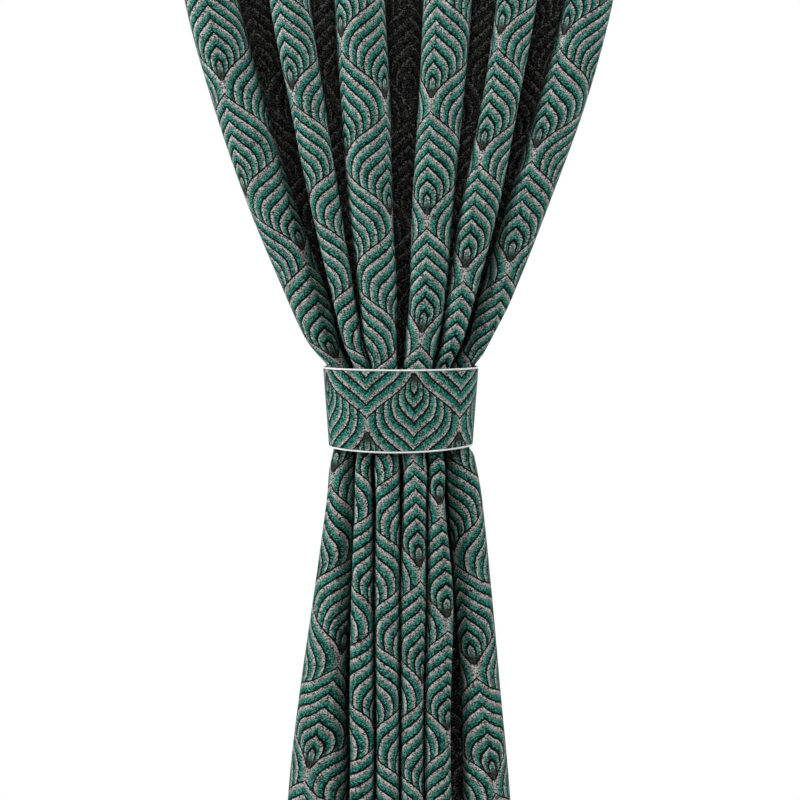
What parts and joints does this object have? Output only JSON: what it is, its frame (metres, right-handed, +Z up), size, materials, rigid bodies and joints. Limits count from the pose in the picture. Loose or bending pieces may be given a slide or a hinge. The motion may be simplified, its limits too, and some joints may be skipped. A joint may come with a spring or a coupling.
{
  "type": "blackout curtain",
  "caption": "Heavy figured curtain panel hanging in deep uneven folds, drawn in at mid height by a matching fabric tieback edged with white piping.",
  "frame": {"origin": "centre of the panel's top edge, where it hangs", "axes": "+Z up along the drop, -Y towards the room (the front of the cloth), +X to the viewer's right"},
  "size_m": [0.773, 0.1484, 2.1295],
  "materials": {
    "curtain_cloth": "heavy woven jacquard, puffed green and silver-grey scale figure with black grooves",
    "tieback_cloth": "the same jacquard turned upside down",
    "white_piping": "matt twisted cotton cord"
  },
  "bodies": {
    "root": {"curtain_panel": "curtain_cloth", "tieback_band": "tieback_cloth", "tieback_piping_top": "white_piping", "tieback_piping_bottom": "white_piping"}
  },
  "joints": []
}
